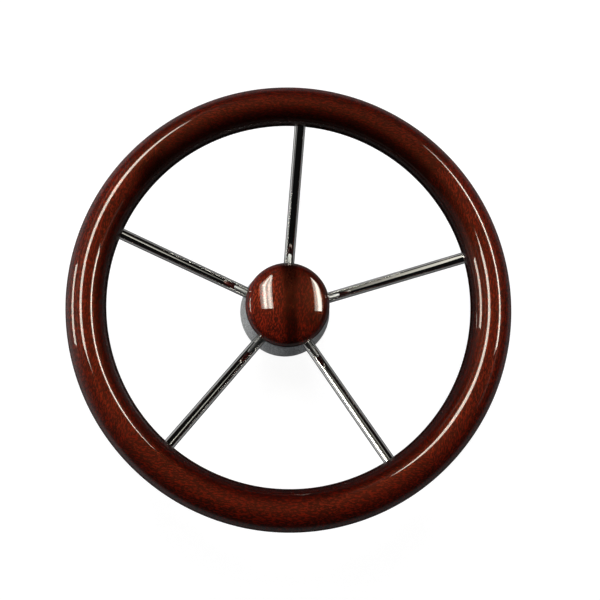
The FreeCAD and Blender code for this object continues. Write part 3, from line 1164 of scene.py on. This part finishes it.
def stage_piece(name, points, faces, material):
    """Piece of the stage, which isn't part of the wheel."""
    mesh = bpy.data.meshes.new(name)
    mesh.from_pydata([tuple(p) for p in points], [], faces)
    mesh.materials.append(material)
    piece = add_object(name, mesh)
    return piece


def only_in_mirrors(piece):
    """Hides a piece of the stage from all but mirror rays."""
    for rays in ("camera", "diffuse", "transmission", "volume_scatter", "shadow"):
        setattr(piece, f"visible_{rays}", False)


def window(name, sides, glow, columns=12, rows=6):
    """Part of a sphere between sides given as (up, left, right), from the bottom to the top."""
    points = []
    for lower, upper in zip(sides, sides[1:]):
        for i in range(rows + 1):
            up, left, right = (a + (b - a) * (i / rows) for a, b in zip(lower, upper))
            for j in range(columns + 1):
                way = toward(left + (right - left) * j / columns, up)
                points.append(window_middle + way * window_distance)
    faces = []
    for i in range((rows + 1) * (len(sides) - 1) - 1):
        for j in range(columns):
            first = i * (columns + 1) + j
            faces.append((first, first + 1, first + columns + 2, first + columns + 1))
    piece = stage_piece(name, points, faces, glow)
    across_map = piece.data.uv_layers.new(name="across")
    for loop in piece.data.loops:
        across_map.data[loop.index].uv = (loop.vertex_index % (columns + 1) / columns, 0.5)
    only_in_mirrors(piece)
    return piece


print("windows stand", window_distance, "metres from the wheel")

# %% [markdown]
# A curtain lets the light through in soft vertical folds, and the varnish shows them as stripes
# in its highlights. The folds could be modelled in cloth, but nobody would see more of them than
# stripes. So they are a ramp of brightness across the window, from side to side.

# %% How a light glows
curtain_tint = (1.0, 0.96, 0.84)


def new_glow(name):
    """Empty material that only glows. Returns it and its tree."""
    material = bpy.data.materials.new(name)
    material.use_nodes = True
    material.node_tree.nodes.clear()
    return material, material.node_tree


def wire_glow(tree, inputs):
    """Light straight to the material's output."""
    glow = node(tree, "Emission", inputs)
    node(tree, "OutputMaterial", {"Surface": glow.outputs[0]})


def curtain_light(name, brightness, folds):
    """Glow with vertical folds, given as (share across, strength) stops."""
    material, tree = new_glow(name)
    across = node(tree, "TexCoord").outputs["UV"]
    share = node(tree, "SeparateXYZ", {0: across}).outputs["X"]
    ramp = node(tree, "ValToRGB", {0: share})
    stops = ramp.color_ramp.elements
    while len(stops) < len(folds):
        stops.new(0.5)
    for stop, (at, strength) in zip(stops, folds):
        stop.position = at
        stop.color = (*(strength * part for part in curtain_tint), 1.0)
    wire_glow(tree, {"Color": ramp.outputs[0], "Strength": brightness})
    return material


print("the curtains' tint is", curtain_tint)

# %% [markdown]
# Each light's sides go from its bottom to its top, as (up, left, right) in degrees seen from the
# wheel, and its folds go from left to right. Places in metres would do as well, but a
# highlight's place on the wood depends on the light's direction, so degrees are quicker to set.

# %% Windows, strip and fringes
window_glow = 42.0
side_glow = 25.0
fringe_glow = 1.2
high_fringe_glow = fringe_glow * 0.35
left_folds = [(0.0, 0.12), (0.2, 0.3), (0.38, 1.2), (0.56, 0.35), (0.76, 0.95), (1.0, 0.2)]
right_folds = [(0.0, 0.25), (0.3, 0.4), (0.55, 1.3), (0.8, 1.0), (1.0, 0.3)]
even_folds = [(0.0, 0.9), (1.0, 1.0)]
rising_folds = [(0.0, 0.05), (0.4, 0.4), (1.0, 1.0)]
falling_folds = [(0.0, 1.0), (0.45, 0.4), (1.0, 0.05)]
mirrored_lights = [
    ("left_window", "left_curtain", window_glow, left_folds,
     [(0, -28.0, -14.0), (27, -32.5, -17.0), (38.5, -21.0, -17.5)]),
    ("right_window", "right_curtain", window_glow, right_folds,
     [(-2, 33.0, 43.5), (28, 33.0, 41.0), (35, 33.0, 34.0)]),
    ("side_strip", "side_curtain", side_glow, even_folds,
     [(-6, -77.0, -65.0), (15, -77.0, -65.0)]),
    ("left_fringe", "left_fringe_glow", fringe_glow, rising_folds,
     [(-6, -49.0, -40.0), (15, -53.0, -42.0), (44, -67.0, -54.0)]),
    ("right_fringe", "right_fringe_glow", fringe_glow, falling_folds,
     [(-15, 42.5, 52.0), (38, 41.0, 51.0)]),
    ("top_fringe", "top_fringe_glow", high_fringe_glow, even_folds,
     [(41.5, -36.0, -14.0), (50, -26.0, -10.0)]),
]
for name, glow_name, brightness, folds, sides in mirrored_lights:
    piece = window(name, sides, curtain_light(glow_name, brightness, folds))
    print(name, "has", len(piece.data.polygons), "panes")

# %% [markdown]
# The ground is plain white, as in the photo, and so is the world for the camera. The varnish and
# the steel mirror something else: a dark room whose ground is pale on the left and dark towards
# the viewer. Its walls could be modelled, but only their brightness counts. So a sphere that
# only mirrors can see stands in for it, and its brightness depends on the direction alone.
# Without it the varnish would turn milky.

# %% Floor and dark room
floor_radius, floor_sides = 12.0, 96
floor_lift = 0.94
room_radius, room_rows = 11.0, 48


def seen_white(tree):
    """1 for the rays of the camera, of mirrors and of glass, and 0 for the rest."""
    path = node(tree, "LightPath").outputs
    seen = calc(tree, "MAXIMUM", path["Is Camera Ray"], path["Is Glossy Ray"])
    return calc(tree, "MAXIMUM", seen, path["Is Transmission Ray"])


# White ground that keeps a soft shadow
white_ground, tree, shader = new_material("white_ground", {
    "Roughness": 0.9, "Specular IOR Level": 0.0, "Emission Color": (1.0, 1.0, 1.0, 1.0)})
tone = node(tree, "TexNoise", {"Scale": 3.0, "Detail": 2.0}).outputs["Fac"]
grey = tint(tree, tone, paint(128, 128, 128), paint(132, 132, 132))
tree.links.new(grey, shader.inputs["Base Color"])
lift = calc(tree, "MULTIPLY", seen_white(tree), floor_lift)
tree.links.new(lift, shader.inputs["Emission Strength"])
floor_ring = [polar(floor_radius, 360 * j / floor_sides) for j in range(floor_sides)]
floor = stage_piece("floor", floor_ring, [list(range(floor_sides))], white_ground)
floor.visible_glossy = False

# Glow by direction: X is the picture's right, Y its top and Z points to the camera
room_profile = bend((0, 0), (0, -room_radius), (0, room_radius), room_rows)
room = lathe("mirrored_room", room_profile, sides=96, closed=False)
room.location = window_middle
room.rotation_euler.z = picture_turn
room_glow, tree = new_glow("mirrored_room")
axes = node(tree, "SeparateXYZ", {0: vector_calc(tree, "NORMALIZE", own_place(tree))}).outputs
below = spread(tree, axes["Z"], 0.05, -0.2, 0.0, 1.0)
not_behind = spread(tree, axes["Z"], -0.78, -0.5, 0.0, 1.0)
leftward = spread(tree, axes["X"], -0.05, -0.8, 0.3, 0.65)
not_near_viewer = spread(tree, axes["Y"], -0.75, -0.15, 0.7, 1.0)
ground = below
for share in (not_behind, leftward, not_near_viewer):
    ground = calc(tree, "MULTIPLY", ground, share)
left_wall = spread(tree, axes["X"], -0.8, -0.98, 0.005, 0.4)
wire_glow(tree, {"Strength": calc(tree, "MAXIMUM", ground, left_wall)})
room.data.materials.append(room_glow)
only_in_mirrors(room)
print("the floor reaches", floor_radius, "metres out")

# %% [markdown]
# Mirrors alone see the windows, so the wood needs light of its own. A bright world would light
# it from every side and leave no shade. One large soft lamp above the wheel keeps the sides that
# face away from it dark, as in the photo, and the world adds hardly any light.

# %% Lamp and world
lamp_direction = (-8.0, 42.0)
lamp_distance = 3.0
lamp_size = 2.4
lamp_power = 84.0
fill_light = 0.02

lamp_data = bpy.data.lights.new("soft_lamp", "AREA")
lamp_data.shape = "DISK"
lamp_data.size = lamp_size
lamp_data.energy = lamp_power
lamp = add_object("soft_lamp", lamp_data)
lamp_way = toward(*lamp_direction)
lamp.location = window_middle + lamp_way * lamp_distance
lamp.rotation_euler = lamp_way.to_track_quat("Z", "Y").to_euler()
lamp.visible_glossy = False
lamp.visible_camera = False

world = bpy.data.worlds.new("studio")
bpy.context.scene.world = world
world.use_nodes = True
sky = world.node_tree.nodes["Background"]
sky.inputs["Color"].default_value = (1.0, 1.0, 1.0, 1.0)
strength = spread(world.node_tree, seen_white(world.node_tree), 0.0, 1.0, fill_light, 1.0)
world.node_tree.links.new(strength, sky.inputs["Strength"])
bpy.context.scene.view_settings.view_transform = "Standard"
print("the stage is set")
